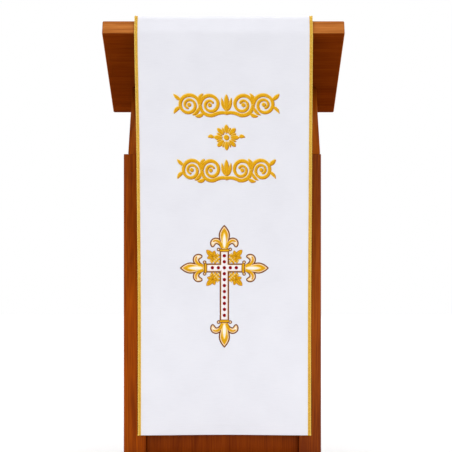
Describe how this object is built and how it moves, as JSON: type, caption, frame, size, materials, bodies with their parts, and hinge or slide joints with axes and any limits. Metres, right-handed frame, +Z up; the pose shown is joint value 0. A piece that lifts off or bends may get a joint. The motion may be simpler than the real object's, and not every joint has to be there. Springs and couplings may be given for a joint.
{
  "type": "ambo cloth on an ambo",
  "caption": "Long white cloth with gold edging, draped over the sloping desk of a plain wooden ambo and falling down its front and its reader's side.",
  "frame": {"origin": "on the floor, under the middle of the part's bounding box", "axes": "+Z up. -Y is the front, towards the people, where the long fall of the cloth hangs; +Y is the reader's side, towards which the desk slopes down. +X is to the right seen from the front."},
  "size_m": [0.68, 0.4293, 1.3145],
  "materials": {
    "cloth": "fine plain weave, matt, close to white",
    "gold_braid": "soft sheen of metallised yarn",
    "wood": "reddish brown stain under satin varnish"
  },
  "bodies": {
    "root": {"cloth": "cloth", "piping_left": "gold_braid", "piping_right": "gold_braid", "desk": "wood", "neck_front": "wood", "neck_left": "wood", "neck_right": "wood", "neck_back": "wood", "body_top": "wood", "stile_left": "wood", "stile_right": "wood", "top_rail": "wood", "front_panel": "wood", "wall_left": "wood", "wall_right": "wood", "wall_back": "wood", "base_board": "wood", "plinth_front": "wood", "plinth_back": "wood", "plinth_left": "wood", "plinth_right": "wood"}
  },
  "joints": []
}
